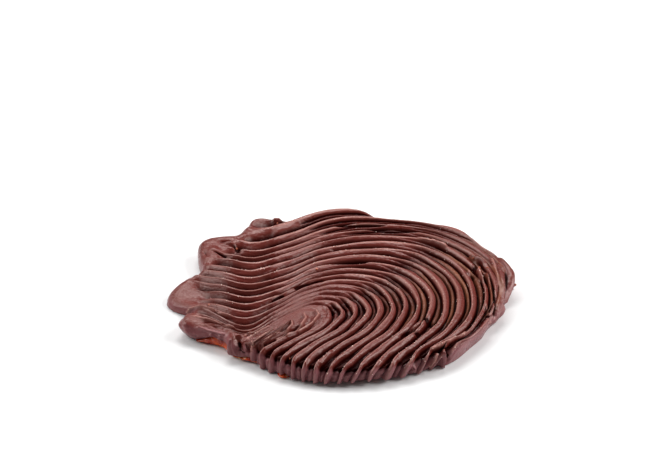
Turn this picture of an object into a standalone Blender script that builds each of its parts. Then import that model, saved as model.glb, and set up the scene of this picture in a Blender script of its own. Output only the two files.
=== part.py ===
"""Florentine cookie: an almond caramel biscuit under a combed chocolate coat.

The cookie lies on its flat biscuit base, chocolate side up.  X runs along its longest
side, Z points up, and the origin is on the table under the middle of the cookie.
Lengths are metres, and bearings are degrees counted from +X towards +Y.
"""
import math

import bmesh
import bpy
import numpy as np

MM = 0.001

# Outline of the poured chocolate: an oval with swellings and bays
HALF_WIDTH = 47.6 * MM
HALF_DEPTH = 43.5 * MM
# Bearing, reach and half-angle of each swelling (+) or bay (-)
LOBES = (
    (9, 2.4 * MM, 10),
    (21, 1.2 * MM, 5),
    (43, 3.5 * MM, 13),
    (72, -2.6 * MM, 7),
    (90, 1.0 * MM, 8),
    (110, -1.6 * MM, 7),
    (122.5, 4.0 * MM, 5),
    (136, -2.2 * MM, 5),
    (147, 3.0 * MM, 6),
    (165, -5.2 * MM, 8),
    (183, 2.6 * MM, 7),
    (195, -3.8 * MM, 5),
    (205.5, 3.0 * MM, 5.2),
    (219, -2.2 * MM, 6),
    (232, -1.7 * MM, 10),
    (267, 4.1 * MM, 22),
    (292, 1.8 * MM, 14),
    (310, 1.0 * MM, 9),
    (325, -0.8 * MM, 8),
    (338, -1.8 * MM, 7),
    (354, -1.3 * MM, 8),
)

# Heights of the coat
CREST_HEIGHT = 6.2 * MM      # crests of the comb marks above the table
HUMP_RISE = 1.4 * MM         # the coat swells over a nut at the back
HUMP_PLACE = (0.0 * MM, 39.0 * MM)
HUMP_SPREAD = (13.0 * MM, 8.0 * MM)
TROUGH_DIP = 0.5 * MM        # shallow valley where the comb turned on the left
TROUGH_PLACE = -25.5 * MM
TROUGH_SPREAD = 5.0 * MM
# Bearing, fall and half-angle: the left lobes sag, and the middle one sags further
SAGS = (
    (178, 1.6 * MM, 32),
    (187, 1.9 * MM, 9),
)
SAG_START = 33.0 * MM        # distances from the middle where the sag begins and is full
SAG_FULL = 42.0 * MM
LIP_HEIGHT = 0.2 * MM        # lower edge of the coat above the table
BARE_LIP_RISE = 1.5 * MM     # the lip lifts where the caramel shows
BARE_BEARING = 229
BARE_SPREAD = 12
RIM_ROUND = 2.2 * MM         # radius from the top into the wall
MIDDLE = (-0.43 * MM, -1.64 * MM)   # middle of the cookie's box, moved to the origin
WALL_REACH = 7.0 * MM        # plan width that the strokes keep for rim and wall

# Comb marks
STROKES = 20                 # ridges from the curl in the middle to the rim
STROKES_PER_ROW = 5          # every fifth stroke is placed, the others lie between
PITCH = 3.7 * MM
BACK_PITCH = 3.15 * MM       # the outer strokes lie closer together round the back
BACK_GATES = (3.0, 5.0, 7.5, 9.5)   # gates between which the pitch changes and returns
LEAST_PACKING = 0.5          # share of their room that the outer strokes take at least
COMB_DEPTH = 1.7 * MM
CREST_SHARPNESS = 1.3        # 1 gives wide crests and narrow grooves
SAMPLES_PER_STROKE = 4
SAMPLES_PER_GATE = 4

# Where the marks fade, each as the share lost and the values it fades between
INNER_FADE = (1.0, 1.5, 0.3)         # stroke numbers beside the seam
OUTER_FADE = (1.0, 18.2, 19.4)       # stroke numbers beside the rim
LOBE_FADE = (0.85, 34.0 * MM, 40.0 * MM)   # distances from the middle on the left lobes
LOBE_BEARING = 180
LOBE_SPREAD = 36
NOTCH_FADE = (1.0, 1.4, 0.6)         # gates on the wall from the left lobes to the notch
CURL_FADE = (0.6, 8.2, 6.7)          # stroke numbers in the curl, which closed up again
CURL_GATE = 4.6
CURL_SPREAD = 1.6
BULGE_FADE = (1.0, 15.6, 17.1)       # stroke numbers on the smooth bulge at the right
BULGE_BEARING = -8
BULGE_SPREAD = 42
CORNER_FADE = (1.0, 15.7, 16.7)      # stroke numbers on the corner at the front right
CORNER_GATES = (7.6, 8.6)

# The comb's path, seen from above.  Bearings at which strokes 0, 5, 10, 15 and 20 come
# over the left edge and leave over the front edge, and how far each turns at the rim
START_BEARINGS = (227, 208, 180, 152, 128)
START_TURN = (0, 0, 0, 0, -5)
END_BEARINGS = (227, 252.5, 273, 302, 322)
END_TURN = (0, 0.5, 4.5, 8, 2)
RIM_INSET = 6.5 * MM
# The seam that the innermost stroke turns round, from the notch to the curl
SEAM = ((-23.0, -29.8), (-17.5, -25.6), (-14.8, -23.6), (-13.7, -22.6))
# Gates that the comb passes: the places of strokes 5, 10 and 15, and the bearing of 20
GATES = (
    ((-26.0, -26.5), (-26.0, -8.2), (-25.5, 11.8), 118),
    ((-18.7, -19.2), (-17.0, -4.2), (-15.4, 16.2), 109),
    ((-11.8, -12.2), (-7.9, 4.1), (-5.0, 23.5), 96),
    ((-5.0, -8.3), (3.0, 7.4), (9.0, 27.2), 78),
    ((1.2, -10.0), (15.6, 3.2), (27.0, 23.6), 52),
    ((3.4, -15.8), (21.2, -9.5), (38.4, 8.5), 22),
    ((-0.2, -25.2), (17.8, -25.2), (39.2, -17.5), -12),
    ((-8.6, -36.6), (10.2, -36.3), (33.8, -28.8), -33),
)

ROWS = len(START_BEARINGS)
LAST_GATE = len(GATES) + 3   # two gates on the rim at each end of the strokes

# Almond caramel biscuit
BISCUIT_THICKNESS = 3.0 * MM
BISCUIT_HALF_WIDTH = 44.0 * MM
BISCUIT_HALF_DEPTH = 39.5 * MM
# It stops short of the left lobes, which are solid chocolate, and shows at the notch
BISCUIT_LOBES = (
    (178, -7.0 * MM, 26),
    (BARE_BEARING, 1.6 * MM, BARE_SPREAD),
)
# Nuts make the biscuit's side uneven: waves round the side, height and turn of each
NUT_RIPPLES = (
    (7, 0.25 * MM, 0.0),
    (13, 0.2 * MM, 1.0),
)
BISCUIT_SIDES = 120
FIT_GAP = 0.3 * MM           # gap between coat and biscuit


def bump(bearing, centre, spread):
    """Smooth hill of height 1 around one bearing."""
    turn = (np.asarray(bearing) - centre + 180.0) % 360.0 - 180.0
    return np.exp(-(turn / spread) ** 2)


def ease(value):
    """Smooth step from 0 to 1."""
    value = np.clip(value, 0.0, 1.0)
    return value * value * (3.0 - 2.0 * value)


def fade(value, marks):
    """What is left of the comb marks at a value: 1 before the fade starts."""
    share, start, end = marks
    return 1.0 - share * ease((value - start) / (end - start))


def bearing_of(x, y):
    return np.degrees(np.arctan2(y, x))


def lobed_oval(bearing, half_width, half_depth, lobes):
    """Radius at a bearing of an oval with swellings and bays."""
    angle = np.radians(bearing)
    radius = half_width * half_depth / np.hypot(
        half_depth * np.cos(angle), half_width * np.sin(angle))
    for centre, reach, spread in lobes:
        radius = radius + reach * bump(bearing, centre, spread)
    return radius


def rim_radius(bearing):
    """Distance from the middle to the outline."""
    return lobed_oval(bearing, HALF_WIDTH, HALF_DEPTH, LOBES)


def crest_height(x, y):
    """Height of the comb marks' crests above the table."""
    trough = np.exp(-((x - TROUGH_PLACE) / TROUGH_SPREAD) ** 2)
    hump = np.exp(-((x - HUMP_PLACE[0]) / HUMP_SPREAD[0]) ** 2
                  - ((y - HUMP_PLACE[1]) / HUMP_SPREAD[1]) ** 2)
    sag = sum(fall * bump(bearing_of(x, y), bearing, spread)
              for bearing, fall, spread in SAGS)
    outward = ease((np.hypot(x, y) - SAG_START) / (SAG_FULL - SAG_START))
    return CREST_HEIGHT - TROUGH_DIP * trough + HUMP_RISE * hump - sag * outward


def lip_height(bearing):
    return LIP_HEIGHT + BARE_LIP_RISE * bump(bearing, BARE_BEARING, BARE_SPREAD)


def spread_point(bearing, inset=0.0):
    """Point of the flattened coat's border, or a little inside it."""
    reach = rim_radius(bearing) - RIM_ROUND + WALL_REACH - inset
    return np.stack([reach * np.cos(np.radians(bearing)),
                     reach * np.sin(np.radians(bearing))], axis=-1)


def neighbours(step, last):
    """Numbers of the four rows round a step of a curve with rows 0 to last."""
    return np.maximum(step - 1, 0), step, step + 1, np.minimum(step + 2, last)


def catmull_rom(before, here, after, beyond, part):
    return 0.5 * (2.0 * here + (after - before) * part
                  + (2.0 * before - 5.0 * here + 4.0 * after - beyond) * part ** 2
                  + (3.0 * here - before - 3.0 * after + beyond) * part ** 3)


def curve_between(read_row, place, last):
    """Smooth curve through rows 0 to last, read at one place for each point."""
    step = np.clip(np.floor(place).astype(int), 0, last - 1)
    part = (place - step)[:, None]
    before, here, after, beyond = [read_row(row) for row in neighbours(step, last)]
    before = np.where((step == 0)[:, None], 2.0 * here - after, before)
    beyond = np.where((step == last - 1)[:, None], 2.0 * after - here, beyond)
    return catmull_rom(before, here, after, beyond, part)


def placed_strokes():
    """Points of strokes 0, 5, 10, 15 and 20 on every gate of the flattened coat."""
    strokes = []
    for row in range(ROWS):
        inset = RIM_INSET if row < ROWS - 1 else 0.0
        points = [spread_point(START_BEARINGS[row]),
                  spread_point(START_BEARINGS[row] + START_TURN[row], inset)]
        for index, gate in enumerate(GATES):
            if row == 0:
                mirrored = min(index, len(GATES) - 1 - index)
                points.append(np.array(SEAM[mirrored]) * MM)
            elif row < ROWS - 1:
                points.append(np.array(gate[row - 1]) * MM)
            else:
                points.append(spread_point(gate[row - 1]))
        points.append(spread_point(END_BEARINGS[row] + END_TURN[row], inset))
        points.append(spread_point(END_BEARINGS[row]))
        strokes.append(np.array(points))
    return strokes


def comb_path(stroke, gate):
    """Place on the flattened coat for each stroke number and gate number."""
    rows = [curve_between(lambda step: points[step], gate, LAST_GATE)
            for points in placed_strokes()]
    # the outermost stroke lies along the border
    rows[-1] = spread_point(bearing_of(rows[-1][:, 0], rows[-1][:, 1]))
    rows = np.array(rows)
    # the outer strokes keep the comb's pitch and leave the slack to the smooth rim
    room = np.linalg.norm(rows[-1] - rows[-2], axis=1)
    leave, there, back, home = BACK_GATES
    at_back = ease((gate - leave) / (there - leave)) * ease((home - gate) / (home - back))
    pitch = PITCH + (BACK_PITCH - PITCH) * at_back
    packed = np.clip(STROKES_PER_ROW * pitch / room, LEAST_PACKING, 1.0)
    place = stroke / STROKES_PER_ROW
    outer = np.clip(place - (ROWS - 2), 0.0, 1.0)
    place = np.minimum(place, ROWS - 2) + packed * outer + (1.0 - packed) * outer ** 4
    point = np.arange(len(place))
    return curve_between(lambda step: rows[step, point], place, ROWS - 1)


def comb_plan(stroke, gate):
    """The comb's path, with both ends of every stroke drawn out to the border."""
    plan = comb_path(stroke, gate)
    scale = np.ones(len(gate))
    for end in (0, LAST_GATE):
        tip = comb_path(stroke, np.full(len(gate), float(end)))
        border = np.linalg.norm(spread_point(bearing_of(tip[:, 0], tip[:, 1])), axis=1)
        nearness = ease(1.0 - np.abs(gate - end) / 2.0)
        scale += nearness * (border / np.hypot(tip[:, 0], tip[:, 1]) - 1.0)
    return plan * scale[:, None]


def drape(plan):
    """Lay the flattened coat over the rim: points of the smooth coat and its normals."""
    radius = np.hypot(plan[:, 0], plan[:, 1])
    bearing = bearing_of(plan[:, 0], plan[:, 1])
    angle = np.radians(bearing)
    flat_radius = np.minimum(radius, rim_radius(bearing) - RIM_ROUND)
    height = crest_height(flat_radius * np.cos(angle), flat_radius * np.sin(angle))
    quarter = RIM_ROUND * math.pi / 2.0
    wall = height - RIM_ROUND - lip_height(bearing)
    down = np.clip((radius - flat_radius) / WALL_REACH, 0.0, 1.0) * (quarter + wall)
    roll = np.minimum(down, quarter) / RIM_ROUND
    reach = flat_radius + RIM_ROUND * np.sin(roll)
    drop = RIM_ROUND * (1.0 - np.cos(roll)) + np.maximum(down - quarter, 0.0)
    points = np.stack([reach * np.cos(angle), reach * np.sin(angle), height - drop], axis=1)
    normals = np.stack([np.sin(roll) * np.cos(angle), np.sin(roll) * np.sin(angle),
                        np.cos(roll)], axis=1)
    return points, normals


def comb_strength(plan, stroke, gate):
    """How deep the comb marked the coat at each point, from 0 to 1."""
    bearing = bearing_of(plan[:, 0], plan[:, 1])
    radius = np.hypot(plan[:, 0], plan[:, 1])
    strength = fade(stroke, INNER_FADE) * fade(stroke, OUTER_FADE) * fade(gate, NOTCH_FADE)
    on_lobes = bump(bearing, LOBE_BEARING, LOBE_SPREAD)
    strength *= 1.0 - on_lobes * (1.0 - fade(radius, LOBE_FADE))
    in_curl = np.exp(-((gate - CURL_GATE) / CURL_SPREAD) ** 2)
    strength *= 1.0 - in_curl * (1.0 - fade(stroke, CURL_FADE))
    on_bulge = bump(bearing, BULGE_BEARING, BULGE_SPREAD)
    strength *= 1.0 - on_bulge * (1.0 - fade(stroke, BULGE_FADE))
    start, end = CORNER_GATES
    on_corner = ease((gate - start) / (end - start))
    return strength * (1.0 - on_corner * (1.0 - fade(stroke, CORNER_FADE)))


def combed_surface(stroke, gate):
    """Points of the combed coat for each stroke number and gate number."""
    plan = comb_plan(stroke, gate)
    points, normals = drape(plan)
    crest = np.abs(np.cos(np.pi * stroke)) ** CREST_SHARPNESS
    depth = COMB_DEPTH * comb_strength(plan, stroke, gate) * (1.0 - crest)
    return points - normals * depth[:, None]


def biscuit_radius(bearing):
    angle = np.radians(bearing)
    ripple = sum(height * np.sin(waves * angle + turn) for waves, height, turn in NUT_RIPPLES)
    return ripple + lobed_oval(bearing, BISCUIT_HALF_WIDTH, BISCUIT_HALF_DEPTH,
                               BISCUIT_LOBES)


def ring_point(vert, radius_of, height):
    """Move a vertex to a height and to the radius for its own bearing."""
    bearing = bearing_of(vert.co.x, vert.co.y)
    radius = float(radius_of(bearing))
    vert.co.x = radius * math.cos(math.radians(bearing))
    vert.co.y = radius * math.sin(math.radians(bearing))
    vert.co.z = height


def extrude_ring(mesh, edges):
    """New ring of edges beside an open border."""
    grown = bmesh.ops.extrude_edge_only(mesh, edges=edges)["geom"]
    verts = [item for item in grown if isinstance(item, bmesh.types.BMVert)]
    return verts, [item for item in grown if isinstance(item, bmesh.types.BMEdge)]


def finish_mesh(mesh, name, material, collection):
    bmesh.ops.translate(mesh, verts=mesh.verts, vec=(-MIDDLE[0], -MIDDLE[1], 0.0))
    bmesh.ops.recalc_face_normals(mesh, faces=mesh.faces)
    data = bpy.data.meshes.new(name)
    mesh.to_mesh(data)
    mesh.free()
    data.materials.append(material)
    data.shade_smooth()
    data.set_sharp_from_angle(angle=math.radians(50))
    item = bpy.data.objects.new(name, data)
    collection.objects.link(item)
    return item


def make_material(name, colour, roughness):
    material = bpy.data.materials.new(name)
    material.use_nodes = True
    shader = material.node_tree.nodes["Principled BSDF"]
    shader.inputs["Base Color"].default_value = (*colour, 1.0)
    shader.inputs["Roughness"].default_value = roughness
    shader.inputs["Metallic"].default_value = 0.0
    return material


def make_chocolate_coat(collection):
    """Combed coat: a sheet that follows the comb, closed underneath by a hollow for the biscuit."""
    mesh = bmesh.new()
    bmesh.ops.create_grid(mesh, x_segments=STROKES * SAMPLES_PER_STROKE,
                          y_segments=LAST_GATE * SAMPLES_PER_GATE, size=1.0)
    flat = np.array([vert.co[:] for vert in mesh.verts])
    surface = combed_surface((flat[:, 0] + 1.0) / 2.0 * STROKES,
                             (flat[:, 1] + 1.0) / 2.0 * LAST_GATE)
    for vert, point in zip(mesh.verts, surface):
        vert.co = point
    # the sheet meets itself along the seam, so the two sides of stroke 0 become one
    seam = [vert for vert, place in zip(mesh.verts, flat) if place[0] < -0.999]
    bmesh.ops.remove_doubles(mesh, verts=seam, dist=0.01 * MM)
    # the hollow: in under the lip, up beside the biscuit and across above it
    edges = [edge for edge in mesh.edges if edge.is_boundary]
    ceiling = BISCUIT_THICKNESS + FIT_GAP
    for height in (None, ceiling):
        verts, edges = extrude_ring(mesh, edges)
        for vert in verts:
            level = vert.co.z if height is None else height
            ring_point(vert, lambda bearing: biscuit_radius(bearing) + FIT_GAP, level)
    bmesh.ops.contextual_create(mesh, geom=edges)
    bmesh.ops.triangulate(mesh, faces=[face for face in mesh.faces if len(face.verts) > 4])
    chocolate = make_material("dark_chocolate", (0.09, 0.032, 0.024), 0.35)
    return finish_mesh(mesh, "chocolate_coat", chocolate, collection)


def make_nut_biscuit(collection):
    """Flat biscuit of almonds in caramel, following the cookie's outline under the coat."""
    mesh = bmesh.new()
    bmesh.ops.create_cone(mesh, cap_ends=True, segments=BISCUIT_SIDES, radius1=1.0,
                          radius2=1.0, depth=1.0)
    for vert in mesh.verts:
        ring_point(vert, biscuit_radius, BISCUIT_THICKNESS if vert.co.z > 0.0 else 0.0)
    caramel = make_material("almond_caramel", (0.42, 0.12, 0.035), 0.4)
    return finish_mesh(mesh, "nut_biscuit", caramel, collection)


def main():
    for item in list(bpy.data.objects):
        bpy.data.objects.remove(item)
    cookie = bpy.data.collections.new("florentine_cookie")
    bpy.context.scene.collection.children.link(cookie)
    make_chocolate_coat(cookie)
    make_nut_biscuit(cookie)


main()
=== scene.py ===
# %% [markdown]
# # A florentine cookie with a combed chocolate coat
# A florentine is a thin biscuit of almonds in caramel.  Its coat of dark chocolate is
# poured on and combed while soft, so it carries a swirl of ridges.  The cookie here lies
# with the chocolate side up.
#
# The coat could be sculpted by hand, or carved with Booleans.  The ridges follow a rule,
# though: a comb was drawn along one path.  So a flat sheet is laid along that path, draped
# over the cookie, and Geometry Nodes press the comb's profile into it.
#
# The solids of the cookie are fixed and come in one shared frame, with the origin on the
# table under the middle.  The frame is loaded first, and every piece made here stands for
# one of its solids.  Lengths below are millimetres until they go into a mesh.

# %% Load the fixed frame
import math

import bmesh
import bpy
import numpy as np
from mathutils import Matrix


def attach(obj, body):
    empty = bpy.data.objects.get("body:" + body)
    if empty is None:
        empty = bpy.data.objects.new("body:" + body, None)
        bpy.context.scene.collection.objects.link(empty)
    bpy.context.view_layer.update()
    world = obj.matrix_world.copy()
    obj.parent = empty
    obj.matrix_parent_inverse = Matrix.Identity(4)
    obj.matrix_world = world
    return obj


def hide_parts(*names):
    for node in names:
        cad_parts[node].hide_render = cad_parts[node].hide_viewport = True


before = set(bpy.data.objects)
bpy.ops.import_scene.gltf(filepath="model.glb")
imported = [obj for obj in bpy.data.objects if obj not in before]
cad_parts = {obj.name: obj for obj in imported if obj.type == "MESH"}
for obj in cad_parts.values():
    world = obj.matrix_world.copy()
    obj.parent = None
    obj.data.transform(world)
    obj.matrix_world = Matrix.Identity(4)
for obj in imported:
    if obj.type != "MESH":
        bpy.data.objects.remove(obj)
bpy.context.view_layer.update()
MM = 0.001  # metres

# %% [markdown]
# ## The poured outline
# Poured chocolate runs out into lobes and bays.  An oval with a few smooth bumps around it
# gives that outline from a handful of numbers: each bump has a bearing, a reach and a
# spread.  Bearings are degrees counted from +X towards +Y.


# %% The poured outline
# bearing, reach and spread of each swelling or bay
LOBES = (
    (9, 2.4, 10), (21, 1.2, 5), (43, 3.5, 13), (72, -2.6, 7), (90, 1.0, 8), (110, -1.6, 7),
    (122.5, 4.0, 5), (136, -2.2, 5), (147, 3.0, 6), (165, -5.2, 8), (183, 2.6, 7),
    (195, -3.8, 5), (205.5, 3.0, 5.2), (219, -2.2, 6), (232, -1.7, 10), (267, 4.1, 22),
    (292, 1.8, 14), (310, 1.0, 9), (325, -0.8, 8), (338, -1.8, 7), (354, -1.3, 8),
)
HALF_WIDTH = 47.6
HALF_DEPTH = 43.5
MIDDLE = np.array((-0.43, -1.64))  # middle of the outline's box, which the frame puts at 0


def bump(bearing, centre, spread):
    turn = (np.asarray(bearing) - centre + 180.0) % 360.0 - 180.0
    return np.exp(-(turn / spread) ** 2)


def ease(value):
    value = np.clip(value, 0.0, 1.0)
    return value * value * (3.0 - 2.0 * value)


def bearing_of(x, y):
    return np.degrees(np.arctan2(y, x))


def with_bumps(value, bearing, bumps):
    """A value with smooth bumps added, each with a bearing, a reach and a spread."""
    for centre, reach, spread in bumps:
        value = value + reach * bump(bearing, centre, spread)
    return value


def lobed_oval(bearing, half_width, half_depth, lobes):
    angle = np.radians(bearing)
    radius = half_width * half_depth / np.hypot(
        half_depth * np.cos(angle), half_width * np.sin(angle))
    return with_bumps(radius, bearing, lobes)


def rim_radius(bearing):
    return lobed_oval(bearing, HALF_WIDTH, HALF_DEPTH, LOBES)


print("outline from", round(float(rim_radius(np.arange(360.0)).min()), 1), "to",
      round(float(rim_radius(np.arange(360.0)).max()), 1), "mm from the middle")

# %% [markdown]
# ## Heights
# Seen from the side the coat is a low plateau.  It dips where the comb turned on the left,
# swells over a nut at the back, and sags towards the lobes on the left, which ran out past
# the biscuit.  The lower edge lifts beside the notch, where the caramel shows, and a little
# along the front.  A height map would have to be painted and kept.  The same smooth
# bumps as in the outline do it with a few named sizes.

# %% Heights of the coat
CREST_HEIGHT = 6.2          # crests of the comb marks above the table
TROUGH_DIP = 0.5            # shallow valley where the comb turned on the left
TROUGH_PLACE = -25.5
TROUGH_SPREAD = 5.0
HUMP_RISE = 1.4             # the coat swells over a nut at the back
HUMP_PLACE = (0.0, 39.0)
HUMP_SPREAD = (13.0, 8.0)
SAGS = ((178, 1.6, 32), (187, 1.9, 9))
SAG_START = 33.0            # distance from the middle where the sag begins
SAG_WIDTH = 9.0             # and how far on it is full
LIP_HEIGHT = 0.2            # lower edge of the coat above the table
LIP_LIFTS = ((217.5, 3.3, 6), (233, 1.4, 4.5), (223, 0.9, 3), (249, 0.7, 3), (277, 1.2, 18))


def crest_height(x, y):
    radius = np.hypot(x, y)
    bearing = bearing_of(x, y)
    trough = TROUGH_DIP * np.exp(-((x - TROUGH_PLACE) / TROUGH_SPREAD) ** 2)
    hump = HUMP_RISE * np.exp(-((x - HUMP_PLACE[0]) / HUMP_SPREAD[0]) ** 2
                              - ((y - HUMP_PLACE[1]) / HUMP_SPREAD[1]) ** 2)
    sag = with_bumps(0.0, bearing, SAGS)
    return CREST_HEIGHT - trough + hump - sag * ease((radius - SAG_START) / SAG_WIDTH)


def lip_height(bearing):
    return with_bumps(LIP_HEIGHT, bearing, LIP_LIFTS)


print("crest height in the middle:", round(float(crest_height(0.0, 0.0)), 2), "mm")

# %% [markdown]
# ## The comb's path
# The comb came in over the left edge, swung over the back, turned on the right and left
# over the front edge.  Twenty strokes lie side by side on that path.  Drawing each of them
# would take hundreds of points.  Only every fifth stroke is placed instead, at a few lines
# across the path that are called gates here.  A smooth curve runs along each placed stroke,
# and Catmull-Rom curves across them give the strokes in between.
#
# All this happens on the flattened coat, whose wall is folded out round the rim.

# %% The comb's path on the flattened coat
STROKES = 20
STROKES_PER_ROW = 5       # every fifth stroke is placed, and is called a row
PITCH = 3.7               # from crest to crest
OUTER_PITCH = 3.15        # the same where the outer strokes crowd at the right
RIM_ROUND = 2.2           # radius from the top into the wall
WALL_REACH = 7.0          # how far the wall folds out from where that rounding starts
RIM_INSET = 6.5           # the first and last gate inside the border, measured from it
# bearings where the rows cross the border, and how far they turn on the last stretch
START_BEARINGS = (230, 201, 178, 157, 128)
START_TURN = (0.5, 0, 0, 0, -5)
END_BEARINGS = (230, 252.3, 273, 302, 322)
END_TURN = (0.5, 0.0, 3.0, 7.5, 2)
# half of the seam where stroke 0 runs out and back
SEAM = ((-22.5, -29.8), (-17.3, -25.7), (-14.8, -23.6), (-13.7, -22.6))
# at each gate: the places of strokes 5, 10 and 15, and the bearing of stroke 20
GATES = (
    ((-26.0, -26.5), (-26.0, -8.2), (-25.5, 11.8), 118),
    ((-18.7, -19.2), (-17.0, -4.2), (-15.4, 16.2), 109),
    ((-11.8, -12.2), (-7.9, 4.1), (-5.0, 23.5), 96),
    ((-5.0, -8.3), (3.0, 7.4), (9.0, 27.2), 78),
    ((1.2, -10.0), (15.6, 3.2), (27.0, 23.6), 52),
    ((3.4, -15.8), (21.2, -9.5), (38.4, 8.5), 22),
    ((-0.2, -25.2), (17.8, -25.2), (39.2, -17.5), -12),
    ((-9.0, -35.4), (10.2, -36.3), (33.8, -28.8), -33),
)
ROWS = len(START_BEARINGS)
LAST_GATE = len(GATES) + 3
print(ROWS, "placed strokes and", LAST_GATE + 1, "gates")

# %% [markdown]
# ## Smooth curves through the placed points
# A comb moves smoothly, while the points above would give corners.  Blender's own curves
# could be sampled for each stroke, but the sheet asks for many thousand places at once.  So
# two short functions work on whole arrays: one curve runs along a stroke, the other across
# the strokes.


# %% Smooth curves through the placed points
def spread_point(bearing, inset=0.0):
    """Point of the flattened coat's border, or a little inside it."""
    reach = rim_radius(bearing) - RIM_ROUND + WALL_REACH - inset
    return np.stack([reach * np.cos(np.radians(bearing)),
                     reach * np.sin(np.radians(bearing))], axis=-1)


def curve_between(read_row, place, last):
    """Catmull-Rom curve through rows 0 to last, read at one place for each point."""
    step = np.clip(np.floor(place).astype(int), 0, last - 1)
    part = (place - step)[:, None]
    rows = (np.maximum(step - 1, 0), step, step + 1, np.minimum(step + 2, last))
    before, here, after, beyond = [read_row(row) for row in rows]
    before = np.where((step == 0)[:, None], 2.0 * here - after, before)
    beyond = np.where((step == last - 1)[:, None], 2.0 * after - here, beyond)
    return 0.5 * (2.0 * here + (after - before) * part
                  + (2.0 * before - 5.0 * here + 4.0 * after - beyond) * part ** 2
                  + (3.0 * here - before - 3.0 * after + beyond) * part ** 3)


def stroke_curve(points, gate):
    """Smooth curve through the points of one stroke, even where its gates lie close."""
    steps = np.diff(points, axis=0)
    length = np.maximum(np.linalg.norm(steps, axis=1), 0.001)[:, None]
    slope = steps / length
    turning = (slope[:-1] * length[1:] + slope[1:] * length[:-1]) / (length[:-1] + length[1:])
    slope = np.vstack([slope[:1], turning, slope[-1:]])
    step = np.clip(np.floor(gate).astype(int), 0, LAST_GATE - 1)
    part = (gate - step)[:, None]
    rise = part * part * (3.0 - 2.0 * part)
    return (points[step] * (1.0 - rise) + points[step + 1] * rise
            + length[step] * part * (1.0 - part)
            * (slope[step] * (1.0 - part) - slope[step + 1] * part))


print("the flattened coat reaches to x =", round(float(spread_point(0.0)[0]), 1), "mm")

# %% [markdown]
# ## From stroke and gate to a place
# A comb's teeth keep their distance, but the cookie is wider at one end of the path than at
# the other.  Strokes spread evenly between the rows would grow too wide at the right.  So
# the outer ones keep the comb's pitch, and the border outside them stays a smooth band.


# %% From stroke and gate to a place
def placed_stroke(row):
    """Points of stroke 0, 5, 10, 15 or 20 on every gate."""
    inset = RIM_INSET if row < ROWS - 1 else 0.0
    points = [spread_point(START_BEARINGS[row]),
              spread_point(START_BEARINGS[row] + START_TURN[row], inset)]
    for index, gate in enumerate(GATES):
        if row == 0:
            points.append(np.array(SEAM[min(index, len(GATES) - 1 - index)]))
        elif row < ROWS - 1:
            points.append(np.array(gate[row - 1]))
        else:
            points.append(spread_point(gate[row - 1]))
    points.append(spread_point(END_BEARINGS[row] + END_TURN[row], inset))
    points.append(spread_point(END_BEARINGS[row]))
    return np.array(points)


def comb_path(stroke, gate):
    """Place on the flattened coat for each stroke number and gate number."""
    rows = []
    for row in range(ROWS):
        rows.append(stroke_curve(placed_stroke(row), gate))
    # the outermost stroke lies along the border
    rows[-1] = spread_point(bearing_of(rows[-1][:, 0], rows[-1][:, 1]))
    rows = np.array(rows)
    # the outer strokes keep the comb's pitch and leave the slack to the smooth rim
    room = np.linalg.norm(rows[-1] - rows[-2], axis=1)
    crowded = ease((gate - 3.0) / 2.0) * ease((9.5 - gate) / 2.0)
    pitch = PITCH + (OUTER_PITCH - PITCH) * crowded
    packed = np.clip(STROKES_PER_ROW * pitch / room, 0.5, 1.0)
    place = stroke / STROKES_PER_ROW
    outer = np.clip(place - (ROWS - 2), 0.0, 1.0)
    place = np.minimum(place, ROWS - 2) + packed * outer + (1.0 - packed) * outer ** 4
    point = np.arange(len(place))
    return curve_between(lambda step: rows[step, point], place, ROWS - 1)


def comb_plan(stroke, gate):
    """The comb's path, with both ends of every stroke drawn out to the border."""
    plan = comb_path(stroke, gate)
    scale = np.ones(len(gate))
    for end in (0, LAST_GATE):
        tip = comb_path(stroke, np.full(len(gate), float(end)))
        border = np.linalg.norm(spread_point(bearing_of(tip[:, 0], tip[:, 1])), axis=1)
        nearness = ease(1.0 - np.abs(gate - end) / 2.0)
        scale += nearness * (border / np.hypot(tip[:, 0], tip[:, 1]) - 1.0)
    return plan * scale[:, None]


print("stroke 10 crosses the trough at",
      np.round(comb_plan(np.array([10.0]), np.array([2.0]))[0], 1))

# %% [markdown]
# ## Draping the sheet
# The flattened sheet is laid over the cookie: flat on top, rolled round the rim, then down
# the wall to the lip.  A cloth simulation would wrinkle it by chance.  Each point is put in
# its place by a formula instead, and keeps the direction that the smooth coat faces there,
# so that the comb can later press into it straight.

# %% Draping the sheet
# bearing, size and spread of what makes the rim and the wall uneven
ROUNDER_RIMS = ((178, 1.2, 30), (207, 1.3, 13), (256, 1.5, 24))
BELLIES = ((-28, 0.7, 22), (205, 0.4, 10))
LEAST_BELLY = 0.1
TUCKS = ((203, 1.6, 9),)


def wall_belly(bearing):
    """How far the wall bulges at half height."""
    return with_bumps(0.0, bearing, BELLIES) + LEAST_BELLY


def rounding(bearing):
    """Radius of the rolled rim: the lobes on the left ran out thin and round."""
    return with_bumps(RIM_ROUND, bearing, ROUNDER_RIMS)


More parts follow.
